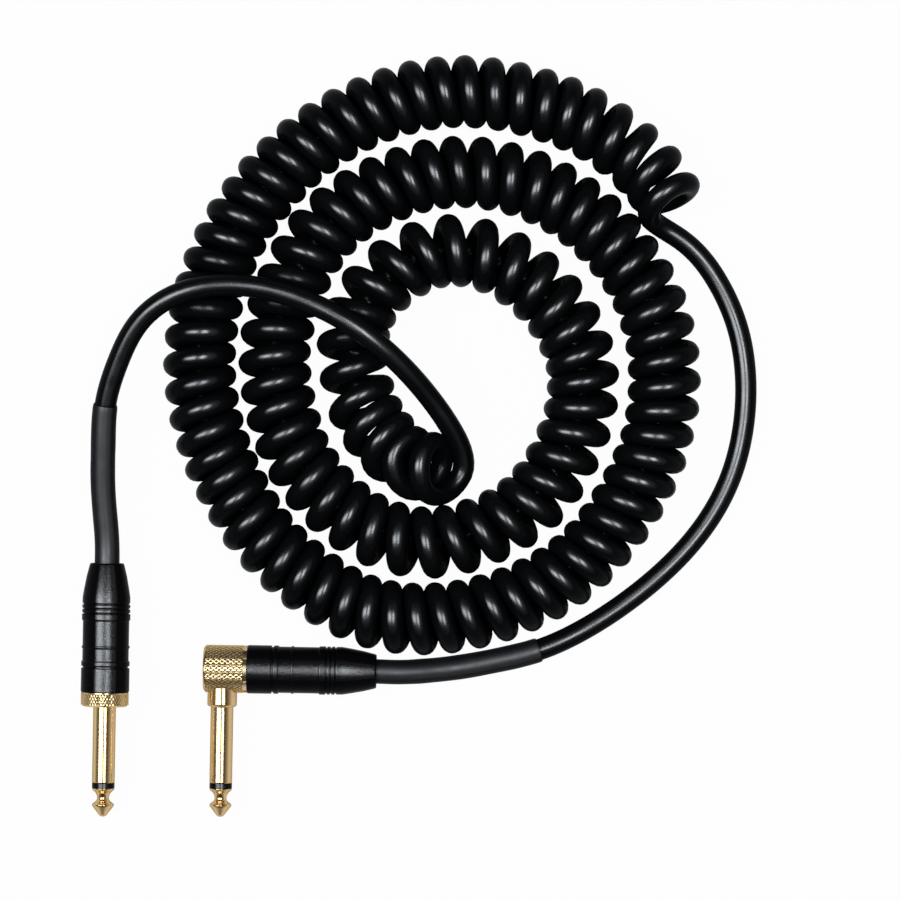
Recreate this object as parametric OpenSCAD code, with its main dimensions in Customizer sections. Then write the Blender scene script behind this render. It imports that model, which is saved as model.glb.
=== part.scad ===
// Curly instrument cable with one straight and one right-angled quarter-inch plug.
// The row frame: the cable lies on the plane z = 0, both contacts point along -Y,
// the cord leaves the straight plug along +Y and the right-angled plug along +X.
// The origin is under the middle of the two plugs.

/* [Cord] */
// Outer diameter of the cord's jacket
cord_d = 6.1; // [5.8:0.1:6.1]
// Outer diameter of the curly stretch
curl_d = 20.4; // [20:0.1:20.4]
// Outer diameter of the heat-shrink sleeves
shrink_d = 7; // [6.8:0.1:7]
// How far a heat-shrink sleeve reaches into its barrel
shrink_tuck = 6.5; // [4:0.5:7]

/* [Contact plug] */
// Diameter of the plug contact
shank_d = 6.35; // [6.3:0.01:6.35]
// Length from the shoulder to the end of the tip
shank_l = 31; // [31:0.1:31.2]
// Length of the sleeve contact, from the shoulder to the insulating ring
sleeve_l = 21.5; // [21:0.1:21.5]
// Thickness of the insulating ring before the tip
ring_t = 1.5; // [1.4:0.1:1.6]
// Diameter of the tip rod
rod_d = 2.6; // [2.4:0.1:2.6]

/* [Barrel] */
// Length of the screwed-on barrel
barrel_l = 36.3; // [36:0.1:36.3]
// Largest diameter of the barrel
barrel_d = 13.6; // [13.4:0.1:13.6]
// Diameter of the barrel's thread
thread_d = 11; // [10.8:0.1:11]
// Length of the threaded spigot
spigot_l = 7; // [6:0.5:7]
// Diameter of the cord hole at the barrel's rear
cord_hole_d = 7.9; // [7.8:0.1:8]

/* [Straight plug] */
// Thickness of the knurled flange
flange_t = 3.9; // [3.8:0.1:4]
// Diameter of the knurled flange
flange_d = 13.45; // [13.2:0.05:13.5]

/* [Right-angled plug] */
// Distance between the two contacts
plug_gap = 33; // [33:0.5:36]
// Diameter of the knurled elbow
elbow_d = 13.4; // [13.2:0.1:13.5]
// Length of the knurled elbow without its cap
elbow_l = 10.6; // [10.4:0.1:11]
// Thickness of the elbow cap's rim
cap_t = 0.6; // [0.5:0.1:0.8]
// Thickness of the notched ring before the barrel
notch_t = 1; // [0.8:0.1:1.2]
// Diameter of the collar under the elbow
collar_d = 8.3; // [8:0.1:8.4]
// Length of the collar between the shoulder and the elbow
collar_l = 3.9; // [3.8:0.1:4]

/* [Hidden] */
$fn = 64;

// Running clearance of every rod, spigot and tube, on the radius
fit = 0.05;
// Height of both plugs' axes, which rest on their barrels
axis_z = barrel_d / 2;
// Where the right-angled contact sits along its elbow, from the barrel's front edge
elbow_reach = 6.9;
// How much further forward the straight plug's tip reaches
tip_lead = 0.5;

plugs_w = barrel_d / 2 + plug_gap + elbow_reach + barrel_l;
straight_total = shank_l + flange_t + barrel_l;
straight_x = -plugs_w / 2 + barrel_d / 2;
straight_face_y = -straight_total / 2 + shank_l;
straight_barrel_y = straight_face_y + flange_t;
angled_x = straight_x + plug_gap;
angled_face_y = straight_face_y + tip_lead;
elbow_y = angled_face_y + collar_l + elbow_d / 2;
angled_barrel_x = angled_x + elbow_reach;

// Inside the plugs. Heights are measured in the barrel's frame, from its front edge.
rod_hole_r = rod_d / 2 + fit;
core_tube_r = 2.25;
sleeve_bore_r = core_tube_r + fit;
cavity_r = 4.3;
cavity_floor = -0.5;
washer_r = 2.75;
washer_neck_r = 2.35;
washer_front = -1;
washer_rear = -2.2;
tip_terminal_r = 2.6;
ground_ring_bore_r = 2.4;
ground_rim_bore_r = 3.75;
ground_rim_l = 1.5;
terminal_t = 0.5;
peen_z = washer_rear - terminal_t;
tongue_y = -1.95;
tongue_w = 2.4;
tongue_end = -12.5;
strap_y = 3.1;
strap_t = 0.6;
strap_w = 3.2;
jacket_end = -23;
clamp_l = 3.5;
clamp_t = 0.6;
clamp_mouth_w = 3.6;
clamp_end = jacket_end - 0.5 - clamp_l;
liner_front = -7.3;
liner_rear = -25.5;
liner_r = 5.4;
liner_t = 0.5;
peen_r = 1.6;
peen_t = 0.6;

// Wires and solder. The core and the shield start this far inside the jacket.
wire_tuck = 1;
core_stop = [0, -0.9, -15];
core_r = 1.2;
strands_start = [0, -0.88, -15.5];
strands_stop = [0, -1.25, -11];
strands_r = 0.4;
shield_start_y = 1.9;
shield_stop = [0, 2.4, -17];
shield_r = 0.6;
tip_joint = [0, -1.45, -11.6];
ground_joint = [0, 2.6, -17.3];
solder_r = 1;

// The right-angled contact's rear end. Heights are in the contact's frame.
seat_depth = 1.5;
angled_spigot_r = 3.5;
angled_spigot_end = -collar_l - 3.5;
angled_washer_end = angled_spigot_end - 1;

// Sides of the swept cord solids
lead_sides = 10;
curl_sides = 12;

// Route of the lead from the straight plug to the inner end of the curly stretch.
// The first point is the jacket's end in the clamp, the second the barrel's rear.
straight_exit_y = straight_barrel_y + barrel_l;
straight_route = [
    [straight_x, straight_barrel_y - jacket_end, axis_z], [straight_x, straight_exit_y, axis_z],
    [-34.8, 41.5, 7], [-35.3, 48, 8], [-36, 58.1, 10], [-35.9, 69, 12.4], [-35.2, 80.4, 14.9],
    [-31.8, 91.8, 17.8], [-25.6, 103.3, 21], [-16.3, 110.4, 23.5], [-5, 113.5, 24.2],
    [8, 113, 23.8], [22, 109, 23.5], [36, 101.5, 23.4], [48, 91.5, 19], [55.2, 83.6, 13.5],
    [60.5, 77, 9.8], [63.8, 70.5, 8], [65, 66, 7]];
// Route of the lead from the right-angled plug to the outer end of the curly stretch
angled_exit_x = angled_barrel_x + barrel_l;
angled_route = [
    [angled_barrel_x - jacket_end, elbow_y, axis_z], [angled_exit_x, elbow_y, axis_z],
    [47.5, 6.4, 6.7], [55, 6.8, 5.3], [65, 8, 3.8], [76, 10.2, 3.5],
    [86.5, 13, 3.5], [99, 18.8, 3.1], [112, 27.5, 3], [124, 38, 3], [133.5, 49.5, 3],
    [140, 62, 3], [143.5, 76, 3], [144.1, 90, 3], [141.7, 104.4, 3], [135.7, 118.8, 3],
    [125, 129.5, 3.8], [117.2, 134.9, 6.5], [116, 138, 9.5]];
// The sleeves follow the leads up to this point of each route
sleeve_last_point = 6;

// Route of the curly stretch's axis, from its outer end to its inner end:
// the number of the turn of cord, then x and y
curly_route = [
    [0, 122, 140.5], [3, 105.5, 157], [6, 86, 166], [9, 65, 169.5], [12, 44.5, 166.5],
    [15, 25.5, 157.5], [18, 9.5, 144.5], [21, -2, 127], [24, -8.5, 107.5], [26, -9.5, 93.5],
    [28, -8, 79.5], [30, -4.5, 66.5], [32, 1.5, 54.5], [34, 10, 43], [36, 20.5, 33.5],
    [39, 39, 23], [42, 60, 21.5], [45, 80.5, 27], [48, 98, 38.5], [51, 111, 55], [54, 119, 74],
    [57, 120.5, 95], [60, 114.5, 115.5], [63, 101.5, 132], [66, 84, 143], [69, 62.5, 147],
    [72, 42, 142], [75, 24.5, 129.5], [78, 14, 109], [80, 11.5, 94.5], [82, 13.5, 80],
    [84, 19, 66.5], [86, 27.5, 55], [88, 39.5, 46.5], [90, 55, 42.5], [92, 70.5, 46],
    [94, 83.5, 54.5], [96, 92.5, 67], [98, 97.5, 81.5], [100, 97, 96], [102, 90, 109.5],
    [104, 78, 120], [106, 62, 125], [108, 46.5, 120], [110, 36.5, 107], [112, 33.5, 92],
    [114, 39, 77], [116, 51, 66], [117.5, 59.5, 64.5]];
// How far a turn leans over near the two ends: turn number, degrees
curly_lean = [[0, -26], [3, 0], [112, 0], [114, 8], [116, 38], [117.5, 38]];
// Height of the axis: turn number, height
curly_height = [[0, 10], [3, curl_d / 2], [114, curl_d / 2], [117.5, 10]];

// ---- frames of the plugs ----

// +Z of the contact frame points to the tip, from the shoulder
module straight_contact() {
    translate([straight_x, straight_face_y, axis_z]) rotate([90, 0, 0]) children();
}

module angled_contact() {
    translate([angled_x, angled_face_y, axis_z]) rotate([90, 0, 0]) children();
}

// +Z of the barrel frame points to the front, from the barrel's front edge
module straight_rear() {
    straight_contact() translate([0, 0, -flange_t]) children();
}

module angled_rear() {
    translate([angled_barrel_x, elbow_y, axis_z]) rotate([0, -90, 0]) children();
}

// ---- shapes ----

module tube(r_out, r_in, z0, z1) {
    translate([0, 0, z0]) difference() {
        cylinder(r = r_out, h = z1 - z0);
        translate([0, 0, -1]) cylinder(r = r_in, h = z1 - z0 + 2);
    }
}

// A box from y0 to y1 and z0 to z1, centred on x
module strip(w, y0, y1, z0, z1) {
    translate([-w / 2, y0, z0]) cube([w, y1 - y0, z1 - z0]);
}

// A round wire between two points that lie in the plane x = 0
module wire(from, to, r) {
    run = to - from;
    translate(from) rotate([-atan2(run[1], run[2]), 0, 0]) cylinder(r = r, h = norm(run));
}

// ---- sweeping along a route ----

function unit(v) = v / norm(v);
function heading(route, i) =
    unit(route[min(i + 1, len(route) - 1)] - route[max(i - 1, 0)]);
// A ring of points around c, facing along t, whose flats are at the radius r
function ring(c, t, r, n) =
    let (side = unit(cross(t, [0, 0, 1])), up = cross(side, t), corner = r / cos(180 / n))
    [for (j = [0 : n - 1])
        let (a = (j + 0.5) * 360 / n) c + corner * (cos(a) * up + sin(a) * side)];
function wall(rings, n, first = 0, flip = false) =
    [for (i = [0 : rings - 2], j = [0 : n - 1])
        let (a = first + i * n + j, b = first + i * n + (j + 1) % n)
        flip ? [a, b, b + n, a + n] : [a, a + n, b + n, b]];

module swept(rings, n) {
    last = (len(rings) - 1) * n;
    polyhedron(
        points = [for (r = rings, p = r) p],
        faces = concat(wall(len(rings), n), [[for (j = [0 : n - 1]) j]],
            [[for (j = [0 : n - 1]) last + n - 1 - j]]),
        convexity = 10);
}

// A pipe whose outer and inner walls follow the same rings
module swept_pipe(outer, inner, n) {
    count = len(outer);
    inside = count * n;
    last = (count - 1) * n;
    polyhedron(
        points = concat([for (r = outer, p = r) p], [for (r = inner, p = r) p]),
        faces = concat(wall(count, n), wall(count, n, inside, true),
            [for (j = [0 : n - 1]) let (k = (j + 1) % n) [j, k, inside + k, inside + j]],
            [for (j = [0 : n - 1]) let (k = (j + 1) % n)
                [last + k, last + j, inside + last + j, inside + last + k]]),
        convexity = 10);
}

function route_rings(route, r, n) =
    [for (i = [0 : len(route) - 1]) ring(route[i], heading(route, i), r, n)];

module lead(route) {
    color([0.03, 0.03, 0.035]) swept(route_rings(route, cord_d / 2, lead_sides), lead_sides);
}

// The sleeve starts inside the barrel, on the straight run before the second point
module shrink_sleeve(route) {
    start = route[1] - shrink_tuck * unit(route[1] - route[0]);
    run = concat([start], [for (i = [1 : sleeve_last_point]) route[i]]);
    facing = [for (i = [0 : len(run) - 1]) i == 0 ? run[1] - run[0] : heading(route, i)];
    outer = [for (i = [0 : len(run) - 1]) ring(run[i], unit(facing[i]), shrink_d / 2, lead_sides)];
    inner = [for (i = [0 : len(run) - 1])
        ring(run[i], unit(facing[i]), cord_d / 2 + fit, lead_sides)];
    color([0.2, 0.2, 0.21]) swept_pipe(outer, inner, lead_sides);
}

function curly_point(i) =
    let (p = curly_route[i]) [p[1], p[2], lookup(p[0], curly_height)];
function curly_facing(i) =
    let (a = curly_route[max(i - 1, 0)], b = curly_route[min(i + 1, len(curly_route) - 1)],
        flat = unit([b[1] - a[1], b[2] - a[2], 0]), lean = lookup(curly_route[i][0], curly_lean))
    cos(lean) * flat + [0, 0, sin(lean)];

// ---- pieces of a plug ----

// The tip rod with its moulded head, riveted over at peen_z
module tip_contact(peen_z) {
    base = sleeve_l + ring_t;
    r = shank_d / 2;
    color([0.85, 0.68, 0.38]) rotate_extrude() polygon([
        [0, peen_z - peen_t], [peen_r, peen_z - peen_t], [peen_r, peen_z],
        [rod_d / 2, peen_z], [rod_d / 2, base], [r - 0.05, base], [r - 0.05, base + 0.3],
        [r - 0.25, base + 0.55], [2.25, base + 1.1], [1.95, base + 1.6], [1.75, base + 2.1],
        [1.68, base + 2.6], [1.7, base + 3.3], [2.35, base + 3.9], [2.95, base + 4.3],
        [r - 0.07, base + 4.65], [2.95, base + 5], [1.3, shank_l - 0.75], [0.95, shank_l - 0.35],
        [0.5, shank_l - 0.1], [0, shank_l]]);
}

module tip_insulator() {
    color([0.05, 0.05, 0.05]) tube(shank_d / 2, rod_hole_r, sleeve_l, sleeve_l + ring_t);
}

module core_tube(rear) {
    color([0.85, 0.85, 0.8]) tube(core_tube_r, rod_hole_r, rear, sleeve_l);
}

// Outline of the sleeve contact in front of its shoulder, from the bore outwards
function sleeve_outline() = [
    [sleeve_bore_r, sleeve_l], [shank_d / 2 - 0.15, sleeve_l],
    [shank_d / 2, sleeve_l - 0.15], [shank_d / 2, 0]];

// Barrel of either plug. Its outline runs back along the outside and forward inside.
module barrel() {
    r = barrel_d / 2;
    waist = r - 0.3;
    groove = r - 0.45;
    end = barrel_l;
    color([0.04, 0.04, 0.045]) mirror([0, 0, 1]) rotate_extrude() polygon([
        [thread_d / 2 + 0.3, 0], [r - 0.3, 0], [r, 0.3], [r, 6.8], [groove, 6.9], [groove, 7.4],
        [r, 7.5], [r, 8.7], [waist, 8.9], [waist, 12.4], [r - 0.05, 12.5], [r - 0.05, 13],
        [waist, 13.1], [waist, 20.2], [r, 20.4], [r, 22], [groove, 22.1], [groove, 22.4],
        [r - 0.05, 22.5], [r - 0.05, 23.3], [groove, 23.4], [groove, 23.7], [r - 0.05, 23.8],
        [r - 0.05, 24.6], [groove, 24.7], [groove, 25], [r - 0.1, 25.1], [r - 0.1, 26.7],
        [6.3, 29.2], [5.65, 32.7], [4.85, end - 0.4], [4.6, end], [cord_hole_d / 2, end],
        [cord_hole_d / 2, 32], [thread_d / 2, 27], [thread_d / 2, 0.3]]);
}

module liner() {
    color([0.9, 0.9, 0.88]) tube(liner_r, liner_r - liner_t, liner_rear, liner_front);
}

// Strap and cord clamp of a ground terminal
module ground_strap(front) {
    strip(strap_w, strap_y, strap_y + strap_t, clamp_end, front);
    difference() {
        tube(cord_d / 2 + clamp_t, cord_d / 2 + fit, clamp_end, clamp_end + clamp_l);
        strip(clamp_mouth_w, -5, -1, clamp_end - 1, clamp_end + clamp_l + 1);
    }
}

// The wires come out of the jacket's end
module core_insulation() {
    color([0.9, 0.9, 0.9]) wire([0, 0, jacket_end - wire_tuck], core_stop, core_r);
}

module core_strands() {
    color([0.72, 0.45, 0.25]) wire(strands_start, strands_stop, strands_r);
}

module shield_tail() {
    color([0.72, 0.45, 0.25])
        wire([0, shield_start_y, jacket_end - wire_tuck], shield_stop, shield_r);
}

module tip_solder() {
    color([0.7, 0.7, 0.72]) translate(tip_joint) sphere(r = solder_r);
}

module ground_solder() {
    color([0.7, 0.7, 0.72]) translate(ground_joint) sphere(r = solder_r);
}

// ---- straight plug ----

module straight_tip() {
    straight_contact() tip_contact(peen_z - flange_t);
}

module straight_tip_insulator() {
    straight_contact() tip_insulator();
}

module straight_core_tube() {
    straight_contact() core_tube(cavity_floor - flange_t);
}

module straight_shank() {
    r = flange_d / 2;
    spigot_r = thread_d / 2 - fit;
    rear = -flange_t - spigot_l;
    color([0.85, 0.68, 0.38]) straight_contact() rotate_extrude() polygon(concat(
        sleeve_outline(),
        [[r - 0.5, 0], [r, -0.6], [r, 0.2 - flange_t], [r - 0.2, -flange_t],
            [spigot_r, -flange_t], [spigot_r, rear + 0.3], [spigot_r - 0.3, rear],
            [cavity_r, rear], [cavity_r, cavity_floor - flange_t],
            [sleeve_bore_r, cavity_floor - flange_t]]));
}

module straight_rear_insulator() {
    color([0.5, 0.3, 0.15]) straight_rear() {
        tube(washer_r, rod_hole_r, washer_rear, washer_front);
        tube(washer_neck_r, rod_hole_r, washer_front - 0.1, cavity_floor);
    }
}

module straight_tip_terminal() {
    color([0.75, 0.7, 0.6]) straight_rear() {
        tube(tip_terminal_r, rod_hole_r, peen_z, washer_rear);
        strip(tongue_w, tongue_y - terminal_t / 2, tongue_y + terminal_t / 2, tongue_end,
            washer_rear - 0.1);
    }
}

module straight_ground_terminal() {
    color([0.75, 0.7, 0.6]) straight_rear() {
        tube(cavity_r - 0.1, ground_ring_bore_r, cavity_floor - terminal_t, cavity_floor);
        ground_strap(cavity_floor - 0.1);
    }
}

module straight_tip_solder() {
    straight_rear() tip_solder();
}

module straight_ground_solder() {
    straight_rear() ground_solder();
}

module straight_core_insulation() {
    straight_rear() core_insulation();
}

module straight_core_strands() {
    straight_rear() core_strands();
}

module straight_shield_tail() {
    straight_rear() shield_tail();
}

module straight_liner() {
    straight_rear() liner();
}

module straight_barrel() {
    straight_rear() barrel();
}

// ---- right-angled plug ----

module angled_tip() {
    angled_contact() tip_contact(angled_washer_end - terminal_t);
}

module angled_tip_insulator() {
    angled_contact() tip_insulator();
}

module angled_core_tube() {
    angled_contact() core_tube(angled_spigot_end);
}

module angled_shank() {
    r = collar_d / 2;
    seat = -collar_l - seat_depth;
    color([0.85, 0.68, 0.38]) angled_contact() rotate_extrude() polygon(concat(
        sleeve_outline(),
        [[r - 0.4, 0], [r, -0.5], [r, seat], [angled_spigot_r, seat],
            [angled_spigot_r, angled_spigot_end], [sleeve_bore_r, angled_spigot_end]]));
}

// Knurled elbow with the barrel's threaded spigot, bored along and across
module angled_elbow() {
    r = elbow_d / 2;
    spigot_r = thread_d / 2 - fit;
    left = notch_t + elbow_l;
    color([0.85, 0.68, 0.38]) angled_rear() difference() {
        rotate_extrude() polygon([
            [cavity_r, -spigot_l], [spigot_r - 0.3, -spigot_l], [spigot_r, 0.3 - spigot_l],
            [spigot_r, notch_t], [r - 0.3, notch_t], [r, notch_t + 0.3], [r, left - 0.7],
            [r - 0.7, left], [cavity_r, left]]);
        translate([0, 0, elbow_reach]) rotate([90, 0, 0]) {
            cylinder(r = angled_spigot_r + fit, h = r + 1);
            translate([0, 0, r - seat_depth]) cylinder(r = collar_d / 2 + fit, h = 2 * seat_depth);
        }
    }
}

module angled_elbow_cap() {
    r = elbow_d / 2 - 0.4;
    left = notch_t + elbow_l;
    color([0.85, 0.68, 0.38]) angled_rear() rotate_extrude() polygon([
        [0, left - 1], [cavity_r - fit, left - 1], [cavity_r - fit, left],
        [r, left], [r, left + cap_t - 0.4], [r - 0.4, left + cap_t], [0, left + cap_t]]);
}

module angled_notched_ring() {
    r = elbow_d / 2 - 0.1;
    notch_w = 2.2;
    notch_depth = 0.6;
    notches = 8;
    color([0.9, 0.78, 0.5]) angled_rear() difference() {
        tube(r, thread_d / 2, 0, notch_t);
        for (i = [0 : notches - 1]) rotate((i + 0.5) * 360 / notches)
            translate([r - notch_depth, -notch_w / 2, -1]) cube([2, notch_w, notch_t + 2]);
    }
}

module angled_rear_insulator() {
    color([0.5, 0.3, 0.15]) angled_contact()
        tube(washer_r, rod_hole_r, angled_washer_end, angled_spigot_end);
}

// The tongue turns from the contact's axis to the barrel's
module angled_tip_terminal() {
    lower = angled_washer_end - terminal_t;
    tongue_l = elbow_reach - tongue_end;
    color([0.75, 0.7, 0.6]) angled_contact() {
        tube(tip_terminal_r, rod_hole_r, lower, angled_washer_end);
        translate([2, -tongue_w / 2, lower]) cube([tongue_l - 2, tongue_w, terminal_t]);
    }
}

module angled_ground_terminal() {
    color([0.75, 0.7, 0.6]) angled_rear() {
        tube(cavity_r - fit, ground_rim_bore_r, -spigot_l, ground_rim_l - spigot_l);
        strip(strap_w, strap_y, ground_rim_bore_r + 0.1, -spigot_l, ground_rim_l - spigot_l);
        ground_strap(-spigot_l + 0.1);
    }
}

module angled_tip_solder() {
    angled_rear() tip_solder();
}

module angled_ground_solder() {
    angled_rear() ground_solder();
}

module angled_core_insulation() {
    angled_rear() core_insulation();
}

module angled_core_strands() {
    angled_rear() core_strands();
}

module angled_shield_tail() {
    angled_rear() shield_tail();
}

module angled_liner() {
    angled_rear() liner();
}

module angled_barrel() {
    angled_rear() barrel();
}

// ---- cord ----

module straight_lead() {
    lead(straight_route);
}

module angled_lead() {
    lead(angled_route);
}

module straight_shrink_sleeve() {
    shrink_sleeve(straight_route);
}

module angled_shrink_sleeve() {
    shrink_sleeve(angled_route);
}

// Outer shape of the curly stretch: one fat tube around its axis
module curly_cord() {
    rings = [for (i = [0 : len(curly_route) - 1])
        ring(curly_point(i), curly_facing(i), curl_d / 2, curl_sides)];
    color([0.03, 0.03, 0.035]) swept(rings, curl_sides);
}

straight_tip();
straight_tip_insulator();
straight_core_tube();
straight_shank();
straight_rear_insulator();
straight_tip_terminal();
straight_ground_terminal();
straight_tip_solder();
straight_ground_solder();
straight_core_insulation();
straight_core_strands();
straight_shield_tail();
straight_liner();
straight_barrel();
straight_shrink_sleeve();
straight_lead();
curly_cord();
angled_lead();
angled_shrink_sleeve();
angled_barrel();
angled_liner();
angled_shield_tail();
angled_core_insulation();
angled_core_strands();
angled_ground_solder();
angled_tip_solder();
angled_ground_terminal();
angled_tip_terminal();
angled_rear_insulator();
angled_elbow();
angled_elbow_cap();
angled_notched_ring();
angled_shank();
angled_core_tube();
angled_tip_insulator();
angled_tip();
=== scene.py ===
import math

import bmesh
import bpy
import numpy as np
from mathutils import Matrix


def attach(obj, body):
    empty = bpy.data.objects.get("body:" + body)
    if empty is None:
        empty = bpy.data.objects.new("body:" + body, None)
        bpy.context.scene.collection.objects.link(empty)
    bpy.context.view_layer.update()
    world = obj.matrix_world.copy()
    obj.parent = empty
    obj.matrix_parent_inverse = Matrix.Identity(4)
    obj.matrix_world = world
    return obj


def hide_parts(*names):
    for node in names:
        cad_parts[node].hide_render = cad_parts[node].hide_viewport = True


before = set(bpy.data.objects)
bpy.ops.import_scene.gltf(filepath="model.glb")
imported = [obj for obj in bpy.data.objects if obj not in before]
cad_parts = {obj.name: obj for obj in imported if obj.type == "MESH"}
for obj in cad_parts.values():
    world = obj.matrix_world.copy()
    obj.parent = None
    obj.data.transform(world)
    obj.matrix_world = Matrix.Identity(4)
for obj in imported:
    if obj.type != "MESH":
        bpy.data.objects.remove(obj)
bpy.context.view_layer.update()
random = np.random.default_rng(7)

# Every size below is in millimetres and becomes metres when a mesh is made.
MM = 0.001

# Where the plugs lie, as in the solids
AXIS_Z = 6.8
STRAIGHT_X, STRAIGHT_FACE_Y = -34.7, -4.6
ANGLED_X, ANGLED_FACE_Y = -1.7, -4.1
ELBOW_Y, BARREL_X = 6.5, 5.2

# The contacts, from the tip to the rear: radii end in R, lengths in L and thicknesses in T
TIP_L, TIP_BASE_R, RING_T = 8.0, 3.1, 1.5
SHANK_R, SLEEVE_L = 3.175, 21.5
ROD_R, BORE_R, ROD_HOLE_R = 1.3, 2.3, 1.35
PEEN_R, PEEN_T = 1.6, 0.6
STRAIGHT_PEEN, ANGLED_PEEN = -6.6, -8.9
FLANGE_T, FLANGE_R, FLANGE_KNURL_DEPTH = 3.9, 6.72, 0.1
COLLAR_R, COLLAR_L, SEAT_DEPTH = 4.15, 3.9, 1.5
SOCKET_R, SOCKET_END = 3.5, -7.4
ELBOW_R, ELBOW_L, ELBOW_KNURL_DEPTH = 6.7, 10.6, 0.115
NOTCH_T = 1.0
CAP_R, CAP_PLUG_R, CAP_T = 6.3, 4.2, 0.6

# The barrels and the threaded spigots that they are screwed on
BARREL_L, BARREL_R, MOUTH_R, REAR_HOLE_R = 36.3, 6.8, 5.65, 3.95
THREAD_R, SPIGOT_R, THREAD_ROOT_R, SPIGOT_L, PITCH = 5.5, 5.45, 5.02, 7.0, 1.0
CAVITY_R = 4.3

# The cord and its heat-shrink sleeves
CORD_R, HELIX_R = 3.05, 7.2
SHRINK_R, SHRINK_TUCK, SHRINK_GAP = 3.5, 6.5, 0.03

# How finely the cord is drawn: points around it, points per turn of the curls, and the
# distance between the points of a lead
AROUND_CORD, PER_TURN, LEAD_STEP = 20, 28, 1.8
AROUND_SHRINK, SHRINK_RINGS, WALL_KNOTS = 24, 70, 15


# ---------------------------------------------------------------- materials


def node(tree, kind, **inputs):
    """A new shader node with these values in its sockets."""
    made = tree.nodes.new(kind)
    for name, value in inputs.items():
        made.inputs[name.replace("_", " ")].default_value = value
    return made


def noise(tree, place, scale, detail=3.0, stretch=None):
    """Noise in the row frame, with `scale` grains per metre, stretched along an axis."""
    source = place
    if stretch:
        mapping = node(tree, "ShaderNodeMapping", Scale=stretch)
        tree.links.new(place, mapping.inputs["Vector"])
        source = mapping.outputs["Vector"]
    made = node(tree, "ShaderNodeTexNoise", Scale=scale, Detail=detail)
    tree.links.new(source, made.inputs["Vector"])
    return made.outputs["Fac"]


def ramp(tree, value, low, high, start=0.3, end=0.7):
    """Runs from low to high while the value runs from start to end."""
    made = node(tree, "ShaderNodeMapRange", From_Min=start, From_Max=end, To_Min=low, To_Max=high)
    tree.links.new(value, made.inputs["Value"])
    return made.outputs["Result"]


def finish_of(name, tones, rough, metallic=0.0, ior=1.5, tone_scale=900.0, rough_scale=700.0,
              bump=None, stretch=None, extra=None):
    """A surface whose colour runs between two tones and whose roughness runs over a range.
    bump is (grains per metre, height in metres, strength)."""
    material = bpy.data.materials.new(name)
    material.use_nodes = True
    tree = material.node_tree
    shader = tree.nodes["Principled BSDF"]
    place = tree.nodes.new("ShaderNodeTexCoord").outputs["Object"]
    blend = tree.nodes.new("ShaderNodeMix")
    blend.data_type = "RGBA"
    blend.inputs["A"].default_value = (*tones[0], 1)
    blend.inputs["B"].default_value = (*tones[1], 1)
    tree.links.new(ramp(tree, noise(tree, place, tone_scale, 4.0, stretch), 0, 1),
                   blend.inputs["Factor"])
    tree.links.new(blend.outputs["Result"], shader.inputs["Base Color"])
    tree.links.new(ramp(tree, noise(tree, place, rough_scale, 4.0, stretch), *rough),
                   shader.inputs["Roughness"])
    shader.inputs["Metallic"].default_value = metallic
    shader.inputs["IOR"].default_value = ior
    if metallic:
        shader.inputs["Specular Tint"].default_value = (0.5, 0.4, 0.3, 1)
    if bump:
        grain = noise(tree, place, bump[0], 2.0, stretch)
        relief = node(tree, "ShaderNodeBump", Distance=bump[1], Strength=bump[2])
        tree.links.new(grain, relief.inputs["Height"])
        tree.links.new(relief.outputs["Normal"], shader.inputs["Normal"])
    if extra:
        extra(tree, shader)
    return material


def dark_rim(full, rim, start, end, crease=0.0):
    """Gloss that fades from `full` to `rim` where the surface turns away, as on a soft black
    jacket, and is taken away within `crease` millimetres of another surface as painted shade
    in the creases."""
    def build(tree, shader):
        facing = node(tree, "ShaderNodeLayerWeight", Blend=0.5).outputs["Facing"]
        fade = ramp(tree, facing, full, rim, start, end)
        fade.node.interpolation_type = "SMOOTHSTEP"
        if crease:
            # painted shade: ambient occlusion takes the gloss away in creases, where shade falls
            painted_crease_shade = node(tree, "ShaderNodeAmbientOcclusion", Distance=crease * MM)
            painted_crease_shade.samples = 4
            both = node(tree, "ShaderNodeMath")
            both.operation = "MULTIPLY"
            tree.links.new(fade, both.inputs[0])
            tree.links.new(ramp(tree, painted_crease_shade.outputs["AO"], 0.0, 1.0, 0.7, 0.93),
                           both.inputs[1])
            fade = both.outputs[0]
        tree.links.new(fade, shader.inputs["Specular IOR Level"])
    return build


# stretches noise to the turning marks around a contact
ALONG_Y = (0.15, 6.0, 0.15)
GOLD = ((0.80, 0.55, 0.26), (0.86, 0.61, 0.31))
gold_y = finish_of("gold_turned", GOLD, (0.14, 0.22), 1.0, stretch=ALONG_Y,
                   bump=(900.0, 0.00002, 0.12))
gold_x = finish_of("gold_knurled", ((0.86, 0.61, 0.29), (0.93, 0.70, 0.38)), (0.17, 0.24), 1.0,
                   bump=(1500.0, 0.00002, 0.1))
# painted shade: the walls of the knurls' grooves get a dark brown gold that stands in for the
# shade falling in them
groove_painted_shade = finish_of("gold_groove_painted_shade", ((0.10, 0.065, 0.025), (0.16, 0.10, 0.045)),
                        (0.35, 0.5), 1.0, bump=(1500.0, 0.00002, 0.1))
pale_gold = finish_of("gold_satin", ((0.85, 0.68, 0.42), (0.90, 0.75, 0.52)), (0.22, 0.32), 1.0,
                      bump=(1500.0, 0.00002, 0.15))
powder = finish_of("black_powder_coat", ((0.0025, 0.0025, 0.003), (0.005, 0.005, 0.006)),
                   (0.17, 0.28), ior=1.6, tone_scale=3500.0, rough_scale=4000.0,
                   bump=(2500.0, 0.00014, 0.5), extra=dark_rim(0.85, 0.02, 0.05, 0.125))
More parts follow.
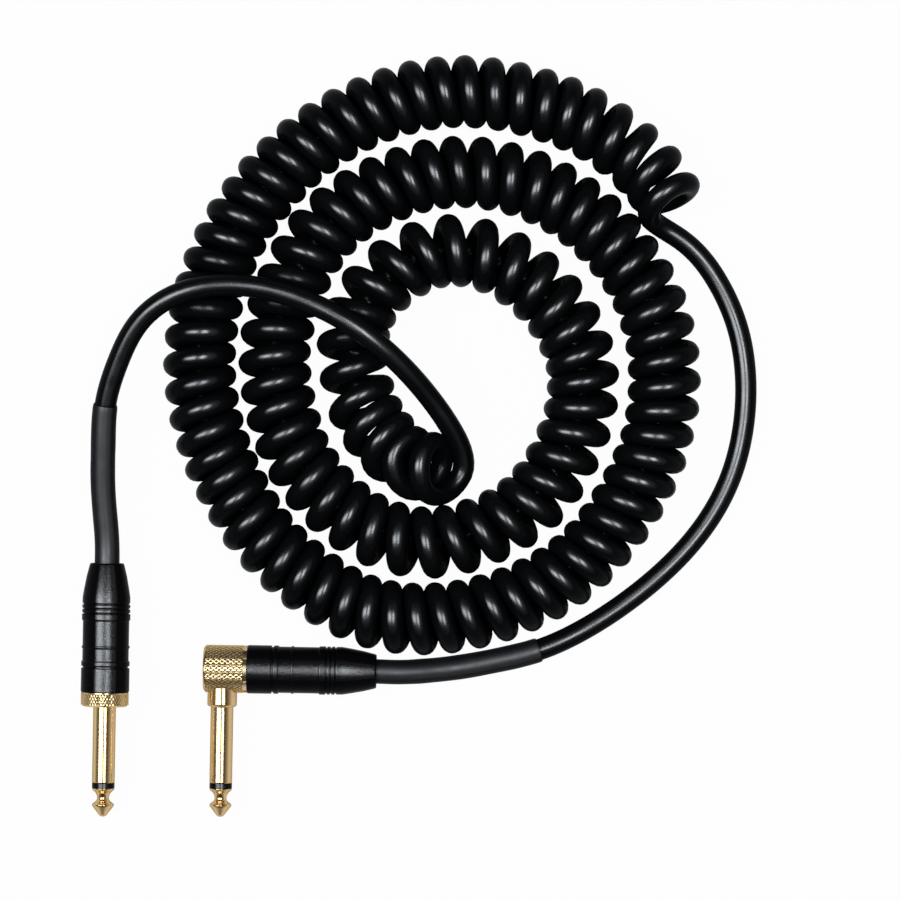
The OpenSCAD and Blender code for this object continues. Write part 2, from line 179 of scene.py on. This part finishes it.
# the jacket's gloss is taken away as painted shade within 9 mm of another surface, as between the
# turns of the curls
jacket = finish_of("cord_jacket", ((0.0030, 0.0036, 0.0042), (0.0050, 0.0058, 0.0066)),
                   (0.23, 0.32), ior=1.65, tone_scale=60.0, rough_scale=250.0,
                   bump=(600.0, 0.00005, 0.05), extra=dark_rim(1.0, 0.02, 0.0, 0.15, 9.0))
shrink = finish_of("heat_shrink", ((0.011, 0.0115, 0.014), (0.016, 0.0165, 0.019)), (0.38, 0.48),
                   ior=1.55, tone_scale=400.0, rough_scale=500.0, bump=(900.0, 0.00006, 0.15),
                   extra=dark_rim(1.0, 0.03, 0.03, 0.3))
black_plastic = finish_of("black_insulator", ((0.003, 0.003, 0.003), (0.006, 0.006, 0.006)),
                          (0.2, 0.3), bump=(3000.0, 0.00002, 0.2),
                          extra=dark_rim(0.9, 0.05, 0.02, 0.17))
white_plastic = finish_of("white_insulation", ((0.74, 0.74, 0.70), (0.82, 0.82, 0.79)),
                          (0.4, 0.5), bump=(1200.0, 0.00003, 0.1))
brown_plastic = finish_of("laminate_washer", ((0.22, 0.11, 0.05), (0.33, 0.18, 0.09)), (0.5, 0.65),
                          tone_scale=2500.0, bump=(3000.0, 0.00003, 0.2))
tinned = finish_of("tinned_brass", ((0.66, 0.62, 0.52), (0.74, 0.71, 0.63)), (0.25, 0.4), 1.0,
                   bump=(1800.0, 0.00002, 0.2))
tin = finish_of("solder", ((0.58, 0.58, 0.60), (0.68, 0.68, 0.70)), (0.3, 0.5), 1.0,
                bump=(1500.0, 0.00005, 0.3))
copper = finish_of("copper_strands", ((0.70, 0.36, 0.20), (0.82, 0.46, 0.28)), (0.25, 0.4), 1.0,
                   bump=(6000.0, 0.00005, 0.6))
liner_film = finish_of("liner_film", ((0.70, 0.71, 0.68), (0.78, 0.79, 0.77)), (0.3, 0.4),
                       bump=(900.0, 0.00003, 0.1))


# ---------------------------------------------------------------- mesh making


def matrix(origin, turn, axis):
    """Moves a part's own frame to its place: turned about an axis by degrees, then shifted."""
    return np.array(Matrix.Translation(origin) @ Matrix.Rotation(math.radians(turn), 4, axis))


straight_contact = matrix((STRAIGHT_X, STRAIGHT_FACE_Y, AXIS_Z), 90, "X")
straight_rear = straight_contact @ np.array(Matrix.Translation((0, 0, -FLANGE_T)))
angled_contact = matrix((ANGLED_X, ANGLED_FACE_Y, AXIS_Z), 90, "X")
angled_rear = matrix((BARREL_X, ELBOW_Y, AXIS_Z), -90, "Y")


def piece(name, points, faces, material, body, replaces, place=None, sharp=40,
          facets=()):
    """A visual piece. Edges sharper than `sharp` degrees and the faces in `facets` aren't
    shaded smooth. `place` is the matrix of its frame, where it isn't drawn in place."""
    points = np.asarray(points, float)
    if place is not None:
        points = points @ place[:3, :3].T + place[:3, 3]
    mesh = bpy.data.meshes.new(name)
    mesh.from_pydata((points * MM).tolist(), [], faces)
    shell = bmesh.new()
    shell.from_mesh(mesh)
    bmesh.ops.recalc_face_normals(shell, faces=shell.faces)
    shell.to_mesh(mesh)
    shell.free()
    mesh.polygons.foreach_set("use_smooth", [True] * len(mesh.polygons))
    mesh.set_sharp_from_angle(angle=math.radians(sharp))
    for i in facets:
        mesh.polygons[i].use_smooth = False
    mesh.materials.append(material)
    made = bpy.data.objects.new(name, mesh)
    bpy.context.scene.collection.objects.link(made)
    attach(made, body)
    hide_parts(*replaces)
    return made


# A corner with a cosine below this is left alone, an arc takes no more than this share of
# a face, and the points that keep a face flat lie this many arcs away from the corner.
NEARLY_STRAIGHT, MOST_OF_FACE, GUARD = -0.985, 0.36, 1.3


def soften(outline, radius, steps=3):
    """Rounds the corners of an outline of (radius, height) points."""
    points = [np.array(p, float) for p in outline]
    made = [points[0]]
    for before, corner, after in zip(points, points[1:], points[2:]):
        back, on = before - corner, after - corner
        lengths = np.linalg.norm(back), np.linalg.norm(on)
        bend = np.dot(back, on) / (lengths[0] * lengths[1])
        if bend < NEARLY_STRAIGHT:
            made.append(corner)
            continue
        cut = min(radius, MOST_OF_FACE * min(lengths))
        back, on = back / lengths[0], on / lengths[1]
        start, end = corner + back * cut, corner + on * cut
        # a point just outside each end of the arc keeps the long faces flat
        made.append(corner + back * GUARD * cut)
        for i in range(steps + 1):
            t = i / steps
            made.append((1 - t) ** 2 * start + 2 * t * (1 - t) * corner + t * t * end)
        made.append(corner + on * GUARD * cut)
    return made + [points[-1]]


def hermite(t, a, b, slope_a, slope_b):
    """The point at the share t of a curve from a to b with these slopes at its ends."""
    return ((2 * t**3 - 3 * t**2 + 1) * a + (t**3 - 2 * t**2 + t) * slope_a
            + (3 * t**2 - 2 * t**3) * b + (t**3 - t**2) * slope_b)


class Lathe:
    """Rings of points around the local z axis, joined one after the other. `facets` holds
    the faces that stay flat and `grooves` those in the grooves of a knurl, which are given painted
    shade."""

    def __init__(self, around):
        self.around = around
        self.turn = np.arange(around) * 2 * math.pi / around
        self.points, self.faces, self.facets, self.grooves = [], [], [], []
        self.first = self.last = None

    def ring(self, radius, height, join=True):
        """Adds a ring, or a single point where the radius is 0. The radius may differ from
        point to point."""
        if np.isscalar(radius) and radius < 1e-6:
            self.points.append((0.0, 0.0, height))
            made = [len(self.points) - 1] * self.around
        else:
            start = len(self.points)
            radius = np.broadcast_to(radius, self.around)
            self.points += list(zip(radius * np.cos(self.turn), radius * np.sin(self.turn),
                                    np.broadcast_to(height, self.around)))
            made = list(range(start, start + self.around))
        if join and self.last:
            for j in range(self.around):
                k = (j + 1) % self.around
                loop = [self.last[j], self.last[k], made[k], made[j]]
                self.faces.append(list(dict.fromkeys(loop)))
        self.first = self.first or made
        self.last = made

    def outline(self, points):
        """Adds a ring for each (radius, height)."""
        for radius, height in points:
            self.ring(radius, height)

    def close(self):
        """Joins the last ring to the first."""
        for j in range(self.around):
            k = (j + 1) % self.around
            self.faces.append([self.last[j], self.last[k], self.first[k], self.first[j]])

    def thread(self, start, end, crest, root):
        """A right-hand thread that runs out at both ends, with ten rings per turn."""
        rows = int(abs(end - start) / PITCH * 10)
        for i in range(rows + 1):
            z = start + (end - start) * i / rows
            phase = (z / PITCH - self.turn / (2 * math.pi)) % 1
            groove = np.clip(1.4 - 2.8 * np.abs(phase - 0.5) * 2, 0, 1)
            fade = min(1, 4 * min(i, rows - i) / rows)
            self.ring(crest - (crest - root) * groove * fade, z)

    def knurl(self, low, top, end, rows, rim=(0.9, 0.26), ridge=0.38):
        """A band of diamond knurling from the last ring to the height end. Points whose row
        and column add up to an even number are the bottoms of the grooves. Between four of
        them stands a hipped roof, whose eaves are at the rim, a share of the diamond's width
        and of its height, and whose ridge runs around the part for that share of its width."""
        first_facet = len(self.faces)
        start = self.points[self.last[0]][2]
        row = (end - start) / rows
        step = 2 * math.pi / self.around
        grid = [self.last]
        for j in range(1, rows + 1):
            self.ring(low, start + j * row, join=False)
            grid.append(self.last)

        def raised(i, j, rise):
            radius = low + (top - low) * rise
            self.points.append((radius * math.cos(i * step), radius * math.sin(i * step),
                                start + j * row))
            return len(self.points) - 1

        share, rise = rim
        for j in range(rows + 1):
            for i in range(self.around):
                if (i + j) % 2 == 0:
                    continue
                corners = grid[j][i - 1], grid[j][(i + 1) % self.around]
                eaves = raised(i - share, j, rise), raised(i + share, j, rise)
                ends = raised(i - ridge, j, 1), raised(i + ridge, j, 1)
                sides = [side for side in (-1, 1) if 0 <= j + side <= rows]
                for side in sides:
                    tip_corner, tip_eave = grid[j + side][i], raised(i, j + side * share, rise)
                    # the groove walls, which are painted dark as shade
                    self.grooves += [len(self.faces), len(self.faces) + 1]
                    self.faces += [[corners[0], eaves[0], tip_eave, tip_corner],
                                   [tip_corner, tip_eave, eaves[1], corners[1]],
                                   [eaves[0], ends[0], tip_eave], [ends[0], ends[1], tip_eave],
                                   [ends[1], eaves[1], tip_eave]]
                if len(sides) == 1:
                    self.faces.append([corners[0], eaves[0], *ends, eaves[1], corners[1],
                                       grid[j][i]])
        self.facets = list(range(first_facet, len(self.faces)))


# ---------------------------------------------------------------- plugs


def tip(name, peen, place, node_name):
    """The tip with its rod, which is peened over at the height `peen`."""
    base = SLEEVE_L + RING_T
    lathe = Lathe(72)
    profile = [(0, peen - PEEN_T), (PEEN_R, peen - PEEN_T), (PEEN_R, peen), (ROD_R, peen),
               (ROD_R, base), (TIP_BASE_R, base), (TIP_BASE_R, base + 0.3)]
    lathe.outline(soften(profile, 0.12)[:-1])
    # the neck's hollow, the head's shoulder and the cone are drawn as a smooth line
    knots = np.array([(TIP_BASE_R, 0.3), (2.88, 0.6), (2.3, 1.1), (1.95, 1.62), (1.75, 2.15),
                      (1.68, 2.7), (1.78, 3.3), (2.25, 3.85), (2.8, 4.25), (3.07, 4.6),
                      (2.98, 5.0), (2.6, 5.55), (1.35, 7.2), (0.98, 7.65), (0.55, 7.92),
                      (0, TIP_L)])
    knots[:, 1] += base
    for i in range(len(knots) - 1):
        before, after = knots[max(i - 1, 0)], knots[min(i + 2, len(knots) - 1)]
        a, b = knots[i], knots[i + 1]
        for t in (0, 0.33, 0.67):
            radius, height = hermite(t, a, b, (b - before) / 2, (after - a) / 2)
            # no ring but the last one closes to a point
            lathe.ring(max(radius, 0.02), height)
    lathe.ring(0, base + TIP_L)
    return piece(name, lathe.points, lathe.faces, gold_y, "cable", [node_name],
                 place, sharp=35)


def insulating_ring(name, place, node_name):
    lathe = Lathe(72)
    lathe.outline(soften([(ROD_HOLE_R, SLEEVE_L), (SHANK_R, SLEEVE_L),
                          (SHANK_R, SLEEVE_L + RING_T), (ROD_HOLE_R, SLEEVE_L + RING_T)], 0.1))
    lathe.close()
    return piece(name, lathe.points, lathe.faces, black_plastic, "cable",
                 [node_name], place)


def barrel(name, place, body, node_name):
    """A barrel from its mouth back. Its outline has (radius, depth) points, outside first."""
    r, waist, groove, end = BARREL_R, BARREL_R - 0.3, BARREL_R - 0.45, BARREL_L
    # every ridge has a narrow chamfer on the side of the contact
    outline = [(MOUTH_R, 0), (r - 0.3, 0), (r, 0.3), (r, 6.8), (groove, 6.95), (groove, 7.35),
               (r - 0.07, 7.45), (r, 7.75), (r, 8.7), (waist, 8.9), (waist, 12.35),
               (r - 0.12, 12.45), (r - 0.05, 12.75), (r - 0.05, 13), (waist, 13.15),
               (waist, 20.15), (r - 0.07, 20.3), (r, 20.6), (r, 22), (groove, 22.1),
               (groove, 22.3), (r - 0.12, 22.4), (r - 0.05, 22.7), (r - 0.05, 23.3),
               (groove, 23.4), (groove, 23.6), (r - 0.12, 23.7), (r - 0.05, 24),
               (r - 0.05, 24.6), (groove, 24.7), (groove, 24.9), (r - 0.17, 25),
               (r - 0.1, 25.3), (r - 0.1, 26.7), (6.3, 29.2), (5.65, 32.7), (4.85, end - 0.4),
               (4.6, end), (REAR_HOLE_R, end), (REAR_HOLE_R, 32), (THREAD_R, 27),
               (THREAD_R, 0.3), (MOUTH_R, 0)]
    lathe = Lathe(96)
    for radius, depth in soften(outline, 0.08)[:-1]:
        lathe.ring(radius, -depth)
    lathe.close()
    return piece(name, lathe.points, lathe.faces, powder, body, [node_name],
                 place, sharp=50)


def straight_shank():
    """The straight plug's contact with its knurled flange and its threaded spigot."""
    lathe = Lathe(96)
    low = FLANGE_R - FLANGE_KNURL_DEPTH
    rear = -FLANGE_T - SPIGOT_L
    lathe.outline(soften([(BORE_R, SLEEVE_L), (SHANK_R - 0.15, SLEEVE_L),
                          (SHANK_R, SLEEVE_L - 0.2), (SHANK_R, 0), (FLANGE_R - 0.75, 0),
                          (low, -0.5), (low, -0.51)], 0.15))
    lathe.knurl(low, FLANGE_R, 0.2 - FLANGE_T, 4, rim=(0.86, 0.28), ridge=0.08)
    lathe.outline([(low, -FLANGE_T), (SPIGOT_R, -FLANGE_T)])
    lathe.thread(-FLANGE_T - 0.4, rear + 0.3, SPIGOT_R, THREAD_ROOT_R)
    lathe.outline([(THREAD_ROOT_R, rear), (CAVITY_R, rear), (CAVITY_R, -0.5 - FLANGE_T),
                   (BORE_R, -0.5 - FLANGE_T)])
    lathe.close()
    made = piece("contact_straight", lathe.points, lathe.faces, gold_y, "cable",
                 ["straight_shank"], straight_contact, sharp=30, facets=lathe.facets)
    made.data.materials.append(gold_x)
    made.data.materials.append(groove_painted_shade)
    for polygon, face in zip(made.data.polygons, lathe.faces):
        if all(lathe.points[i][2] < 0 for i in face):
            polygon.material_index = 1
    # the groove walls get the dark gold of painted shade
    for i in lathe.grooves:
        made.data.polygons[i].material_index = 2
    return made


def angled_shank():
    """The angled plug's contact with its collar, which is seated in the elbow."""
    lathe = Lathe(72)
    seat = -COLLAR_L - SEAT_DEPTH
    lathe.outline(soften([(BORE_R, SLEEVE_L), (SHANK_R - 0.15, SLEEVE_L),
                          (SHANK_R, SLEEVE_L - 0.2), (SHANK_R, 0), (COLLAR_R - 0.45, 0),
                          (COLLAR_R, -0.5), (COLLAR_R, seat), (SOCKET_R, seat),
                          (SOCKET_R, SOCKET_END), (BORE_R, SOCKET_END)], 0.2))
    lathe.close()
    return piece("contact_angled", lathe.points, lathe.faces, gold_y, "cable",
                 ["angled_shank"], angled_contact, sharp=30)


def elbow():
    """The angled plug's knurled elbow with its threaded spigot."""
    lathe = Lathe(76)
    low = ELBOW_R - ELBOW_KNURL_DEPTH
    left = NOTCH_T + ELBOW_L
    lathe.outline([(CAVITY_R, -SPIGOT_L), (THREAD_ROOT_R, -SPIGOT_L)])
    lathe.thread(0.3 - SPIGOT_L, -0.4, SPIGOT_R, THREAD_ROOT_R)
    lathe.outline([(SPIGOT_R, NOTCH_T), (low, NOTCH_T), (low, NOTCH_T + 0.15)])
    lathe.knurl(low, ELBOW_R, left - 0.05, 13)
    lathe.outline([(low, left), (CAVITY_R, left), (CAVITY_R, left - 2)])
    lathe.close()
    made = piece("elbow", lathe.points, lathe.faces, gold_x, "cable",
                 ["angled_elbow"], angled_rear, sharp=30, facets=lathe.facets)
    # the groove walls get the dark gold of painted shade
    made.data.materials.append(groove_painted_shade)
    for i in lathe.grooves:
        made.data.polygons[i].material_index = 1
    return made


def elbow_cap():
    lathe = Lathe(72)
    left = NOTCH_T + ELBOW_L
    lathe.outline(soften([(0, left - 1), (CAP_PLUG_R, left - 1), (CAP_PLUG_R, left + 0.01),
                          (CAP_R, left + 0.01), (CAP_R, left + 0.25), (5.9, left + CAP_T),
                          (0, left + CAP_T)], 0.2))
    return piece("elbow_cap", lathe.points, lathe.faces, gold_x, "cable",
                 ["angled_elbow_cap"], angled_rear, sharp=30)


tip("tip_straight", STRAIGHT_PEEN, straight_contact, "straight_tip")
tip("tip_angled", ANGLED_PEEN, angled_contact, "angled_tip")
insulating_ring("ring_straight", straight_contact, "straight_tip_insulator")
insulating_ring("ring_angled", angled_contact, "angled_tip_insulator")
straight_shank()
angled_shank()
elbow()
elbow_cap()
barrel("barrel_straight", straight_rear, "straight_barrel", "straight_barrel")
barrel("barrel_angled", angled_rear, "angled_barrel", "angled_barrel")

# the pieces inside the plugs and the notched ring are shown as the solids have them
CARRIED = {"core_tube": white_plastic, "rear_insulator": brown_plastic, "tip_terminal": tinned,
           "ground_terminal": tinned, "tip_solder": tin, "ground_solder": tin,
           "core_insulation": white_plastic, "core_strands": copper, "shield_tail": copper,
           "liner": liner_film}
for name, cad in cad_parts.items():
    kind = name.split("_", 1)[1]
    material = pale_gold if kind == "notched_ring" else CARRIED.get(kind)
    if material:
        cad.data.materials.clear()
        cad.data.materials.append(material)


# ---------------------------------------------------------------- cord

# Turn number, x and y of the curly stretch's axis, from its outer end to its inner end
CURLY_ROUTE = np.array([
    [0, 121.3, 139.6], [1, 117.5, 146], [2, 111.8, 151.8], [3, 105.3, 157], [4.5, 95.6, 162.5],
    [6, 86, 166], [9, 65, 169.5], [12, 44.5, 166.5], [15, 25.5, 157.5], [18, 10, 144],
    [21, -1.5, 127], [24, -8, 107.5], [26, -9.5, 93.5], [28, -8, 79.5], [30, -4, 66.5],
    [32, 2, 54.5], [34, 10, 43], [36, 20.5, 33.5], [39, 39, 23.5], [42, 60, 22], [45, 80.5, 27.5],
    [48, 98, 38.5], [51, 111, 55], [54, 119, 74], [57, 120.5, 95], [60, 114.5, 115.5],
    [63, 101.5, 132], [66, 84, 143], [69, 62.5, 147], [72, 42, 142], [75, 24.5, 129.5],
    [78, 14, 109], [80, 11.5, 94.5], [82, 13.5, 80], [84, 18.5, 66.5], [86, 27.5, 55],
    [88, 39.5, 46.5], [90, 55, 43], [92, 70.5, 46.5], [94, 83.5, 54.5], [96, 92.5, 67],
    [98, 97.5, 81.5], [100, 97, 96], [102, 90, 109.5], [104, 78, 120], [106, 62, 125],
    [108, 46.5, 120], [110, 35.3, 107.3], [112, 33.9, 91.8], [113, 35.9, 82.8], [114, 39.3, 76],
    [115, 43.7, 70.4], [116, 50.1, 65.4], [117, 57, 63.7], [118, 62.3, 61.3]], float)
# Turn number, and how far the turns lean back from upright in degrees
LEAN = np.array([[0, -26], [1, -23], [2, -10], [3, -3], [5, 0], [112, 0], [114, 13], [115, 23],
                 [116, 48], [117, 37]], float)
# Turn number, and how high the axis lies
HEIGHT = np.array([[0, 10.1], [3, 10.3], [114, 10.3], [117, 10]], float)
FIRST_TURN, LAST_TURN = -0.1, 117.5

# The leads' routes, from their plugs to the curls. Point 1 is where the barrel ends, and this
# one is where the heat-shrink sleeve ends.
SLEEVE_LAST_POINT = 6

STRAIGHT_ROUTE = np.array([
    [-34.7, 22.3, 6.8], [-34.7, 35.6, 6.8], [-34.8, 41.5, 7], [-35.3, 48, 8],
    [-36, 58.1, 10], [-35.9, 69, 12.4], [-35.2, 80.4, 14.9], [-31.8, 91.8, 17.8],
    [-25.6, 103.3, 21], [-16.3, 110.4, 23.5], [-5, 113.5, 24.2], [8, 113, 23.8], [22, 109, 23.5],
    [36, 101.5, 23.4], [48, 91.5, 19], [55.3, 83.4, 13.5], [60.4, 76.4, 9.8]], float)
ANGLED_ROUTE = np.array([
    [28.2, 6.5, 6.8], [41.5, 6.5, 6.8], [47.5, 6.4, 6.7], [55, 6.8, 5.3], [65, 8, 3.8],
    [76, 10.2, 3.5], [86.5, 13, 3.5], [99, 18.8, 3.1], [112, 27.5, 3], [124, 38, 3],
    [133.5, 49.5, 3], [140, 62, 3], [143.5, 76, 3], [144.1, 90, 3], [141.7, 104.4, 3],
    [135.1, 118.7, 3], [125.2, 129.4, 3.8], [117, 134.4, 6.5]], float)


def cubic(knots, values, start=None, end=None):
    """The slopes of a smooth curve through values at knots. start and end fix its end slopes."""
    n = len(knots)
    gap = np.diff(knots)
    rise = np.diff(values, axis=0) / gap[:, None]
    system, right = np.zeros((n, n)), np.zeros_like(values)
    for i in range(1, n - 1):
        system[i, i - 1:i + 2] = gap[i], 2 * (gap[i - 1] + gap[i]), gap[i - 1]
        right[i] = 3 * (gap[i] * rise[i - 1] + gap[i - 1] * rise[i])
    for row, near, slope, first in ((0, 1, start, rise[0]), (n - 1, n - 2, end, rise[-1])):
        if slope is None:
            system[row, row], system[row, near], right[row] = 2, 1, 3 * first
        else:
            system[row, row], right[row] = 1, slope
    return np.linalg.solve(system, right)


def along(knots, values, slopes, where):
    """Position and slope of that curve at each value of where, run on straight past its ends."""
    i = np.clip(np.searchsorted(knots, where) - 1, 0, len(knots) - 2)
    gap = (knots[i + 1] - knots[i])[:, None]
    t = ((where - knots[i])[:, None]) / gap
    a, b, m, n = values[i], values[i + 1], slopes[i] * gap, slopes[i + 1] * gap
    spot = hermite(t, a, b, m, n)
    slope = ((6 * t**2 - 6 * t) * (a - b) + (3 * t**2 - 4 * t + 1) * m
             + (3 * t**2 - 2 * t) * n) / gap
    return spot, slope


def unit(vectors):
    """The vectors at a length of 1."""
    return vectors / np.linalg.norm(vectors, axis=-1, keepdims=True)


def helix():
    """Centre line of the curls, from the outer end to the inner end."""
    knots, axis = CURLY_ROUTE[:, 0], CURLY_ROUTE[:, 1:]
    slopes = cubic(knots, axis)
    count = int((LAST_TURN - FIRST_TURN) * PER_TURN) + 1
    turns = np.linspace(FIRST_TURN, LAST_TURN, count)
    spot, slope = along(knots, axis, slopes, turns)
    # each turn lies a little differently from its neighbours
    whole = np.arange(-2, 121)
    wobble = np.interp(turns, whole, random.uniform(-2.0, 2.0, len(whole)))
    breath = np.interp(turns, whole, random.uniform(-0.12, 0.06, len(whole)))
    flat = unit(np.column_stack([slope, np.zeros(count)]))
    lean = np.radians(np.interp(turns, *LEAN.T) + wobble)[:, None]
    up = np.array([0.0, 0.0, 1.0])
    travel = np.cos(lean) * flat + np.sin(lean) * up
    outward = unit(np.cross(travel, up))
    rise = np.cross(outward, travel)
    centre = np.column_stack([spot, np.interp(turns, *HEIGHT.T)])
    phase = (2 * math.pi * turns)[:, None]
    radius = HELIX_R + breath[:, None]
    return centre + radius * (np.cos(phase) * rise + np.sin(phase) * outward)


def lead(route, joint, heading):
    """Points along a lead, which ends at the joint with that heading."""
    points = np.vstack([route, joint])
    knots = np.concatenate([[0], np.cumsum(np.linalg.norm(np.diff(points, axis=0), axis=1))])
    slopes = cubic(knots, points, unit(route[1] - route[0]), heading)
    where = np.linspace(0, knots[-1], int(knots[-1] / LEAD_STEP))
    return along(knots, points, slopes, where)[0]


def tube(path, radii, around, caps=True):
    """Points and faces of a round tube along a path, with one radius per point."""
    tangent = unit(np.gradient(path, axis=0))
    side = unit(np.cross(tangent[0], [0, 0, 1.0]))
    turn = np.arange(around) * 2 * math.pi / around
    points = []
    for spot, forward, radius in zip(path, tangent, radii):
        side = unit(side - forward * np.dot(side, forward))
        other = np.cross(forward, side)
        points.append(spot + radius * (np.cos(turn)[:, None] * side
                                       + np.sin(turn)[:, None] * other))
    faces = []
    for i in range(len(path) - 1):
        for j in range(around):
            k = (j + 1) % around
            faces.append([i * around + j, i * around + k, (i + 1) * around + k,
                          (i + 1) * around + j])
    if caps:
        last = (len(path) - 1) * around
        faces.append([around - 1 - j for j in range(around)])
        faces.append([last + j for j in range(around)])
    return np.vstack(points), faces


curls = helix()
first = lead(STRAIGHT_ROUTE, curls[-1], unit(curls[-2] - curls[-1]))
second = lead(ANGLED_ROUTE, curls[0], unit(curls[1] - curls[0]))
centre_line = np.vstack([first[:-1], curls[::-1], second[-2::-1]])

points, faces = tube(centre_line, np.full(len(centre_line), CORD_R), AROUND_CORD)
cord = piece("cord", points, faces, jacket, "cable",
             ["straight_lead", "curly_cord", "angled_lead"])


def shrink_sleeve(name, path, route, node_name):
    """Heat-shrink tube over a lead, from inside its barrel to a point of the route."""
    reach = np.concatenate([[0], np.cumsum(np.linalg.norm(np.diff(path, axis=0), axis=1))])
    start = np.linalg.norm(route[1] - route[0]) - SHRINK_TUCK
    end = reach[np.argmin(np.linalg.norm(path - route[SLEEVE_LAST_POINT], axis=1))]
    where = np.linspace(start, end, SHRINK_RINGS)
    line = np.column_stack([np.interp(where, reach, path[:, i]) for i in range(3)])
    # the wall is drawn in at its cut ends and varies a little along its length
    wall = SHRINK_R + np.interp(where, np.linspace(start, end, WALL_KNOTS),
                                random.uniform(-0.05, 0.03, WALL_KNOTS))
    wall[0] = wall[-1] = SHRINK_R - 0.15
    outer, outside = tube(line, wall, AROUND_SHRINK, caps=False)
    inner, inside = tube(line, np.full(SHRINK_RINGS, CORD_R + SHRINK_GAP), AROUND_SHRINK,
                         caps=False)
    shift, last = len(outer), (SHRINK_RINGS - 1) * AROUND_SHRINK
    faces = outside + [[shift + i for i in reversed(face)] for face in inside]
    for j in range(AROUND_SHRINK):
        k = (j + 1) % AROUND_SHRINK
        faces.append([k, j, shift + j, shift + k])
        faces.append([last + j, last + k, shift + last + k, shift + last + j])
    return piece(name, np.vstack([outer, inner]), faces, shrink, "cable",
                 [node_name], sharp=50)


sleeves = [shrink_sleeve("shrink_straight", first, STRAIGHT_ROUTE, "straight_shrink_sleeve"),
           shrink_sleeve("shrink_angled", second, ANGLED_ROUTE, "angled_shrink_sleeve")]


# ---------------------------------------------------------------- stage, lights, camera


# In metres: half the floor's width, how far it lies below z = 0, and the middle of the object,
# which the lamps hang over
FLOOR_SIZE, FLOOR_DROP = 12.0, 0.0003
MIDDLE_X, MIDDLE_Y = 0.06, 0.07


def floor():
    """Shows white to the camera, some of it to metal and glass, and keeps the shadow."""
    mesh = bpy.data.meshes.new("floor")
    size = FLOOR_SIZE
    mesh.from_pydata([(-size, -size, 0), (size, -size, 0), (size, size, 0), (-size, size, 0)],
                     [], [[0, 1, 2, 3]])
    made = bpy.data.objects.new("floor", mesh)
    made.location = (0, 0, -FLOOR_DROP)
    bpy.context.scene.collection.objects.link(made)
    material = bpy.data.materials.new("pale_floor")
    material.use_nodes = True
    tree = material.node_tree
    tree.nodes.clear()
    light = tree.nodes.new("ShaderNodeLightPath")
    share = None
    for ray, amount in (("Camera", 0.97), ("Glossy", 0.3), ("Transmission", 0.3)):
        part = node(tree, "ShaderNodeMath")
        part.operation = "MULTIPLY_ADD"
        part.inputs[1].default_value = amount
        part.inputs[2].default_value = 0.0
        tree.links.new(light.outputs[f"Is {ray} Ray"], part.inputs[0])
        if share:
            tree.links.new(share.outputs[0], part.inputs[2])
        share = part
    matte = node(tree, "ShaderNodeBsdfDiffuse", Color=(0.93, 0.93, 0.93, 1))
    glow = node(tree, "ShaderNodeEmission", Color=(1, 1, 1, 1), Strength=1.0)
    mix = tree.nodes.new("ShaderNodeMixShader")
    tree.links.new(share.outputs[0], mix.inputs["Fac"])
    tree.links.new(matte.outputs[0], mix.inputs[1])
    tree.links.new(glow.outputs[0], mix.inputs[2])
    out = tree.nodes.new("ShaderNodeOutputMaterial")
    tree.links.new(mix.outputs[0], out.inputs["Surface"])
    mesh.materials.append(material)


floor()


def sky():
    """Pale at the horizon and towards both sides, more so to the right, and dark overhead."""
    world = bpy.data.worlds.new("studio")
    bpy.context.scene.world = world
    world.use_nodes = True
    tree = world.node_tree
    shade = tree.nodes["Background"]
    shade.inputs["Color"].default_value = (1, 1, 1, 1)
    place = tree.nodes.new("ShaderNodeTexCoord").outputs["Generated"]
    split = tree.nodes.new("ShaderNodeSeparateXYZ")
    tree.links.new(place, split.inputs[0])

    def join(kind, first, second=None):
        made = node(tree, "ShaderNodeMath")
        made.operation = kind
        tree.links.new(first, made.inputs[0])
        if second:
            tree.links.new(second, made.inputs[1])
        return made.outputs[0]

    across, height = split.outputs["X"], split.outputs["Z"]
    band = ramp(tree, height, 0.5, 0.03, 0.3, 0.85)
    sides = ramp(tree, join("ABSOLUTE", across), 0.25, 1.0, 0.1, 0.7)
    lean = ramp(tree, across, 0.35, 0.9, -0.9, 0.9)
    horizon = ramp(tree, height, 0.4, 0.0, 0.0, 0.3)
    level = join("MULTIPLY", join("MULTIPLY", band, sides), lean)
    tree.links.new(join("ADD", level, horizon), shade.inputs["Strength"])


sky()


def soft_box(name, low, high, height, strength, tint):
    """A soft box over the object, which reaches from one pair of angles (across, along) to
    another, in degrees from the vertical."""
    light = bpy.data.lights.new(name, "AREA")
    light.shape = "RECTANGLE"
    edges = [height * math.tan(math.radians(a)) for a in (*low, *high)]
    light.size, light.size_y = edges[2] - edges[0], edges[3] - edges[1]
    light.energy = strength * math.pi * light.size * light.size_y
    light.color = tint
    made = bpy.data.objects.new(name, light)
    made.location = (MIDDLE_X + (edges[0] + edges[2]) / 2, MIDDLE_Y + (edges[1] + edges[3]) / 2,
                     height)
    bpy.context.scene.collection.objects.link(made)


soft_box("left_box", (-47, -13), (-12, 13), 2.0, 5.6, (0.90, 0.95, 1.0))
soft_box("right_box", (4, -13), (18.5, 13), 2.0, 7.3, (0.90, 0.95, 1.0))

camera_data = bpy.data.cameras.new("camera")
camera_data.lens, camera_data.sensor_width = 163.7, 36.0
camera_data.clip_start, camera_data.clip_end = 0.1, 20.0
camera = bpy.data.objects.new("camera", camera_data)
camera.location = (0.06108, 0.06907, 1.1568)
camera.rotation_euler = (0, 0, math.radians(1.0))
bpy.context.scene.collection.objects.link(camera)
bpy.context.scene.camera = camera
bpy.context.scene.view_settings.view_transform = "Standard"
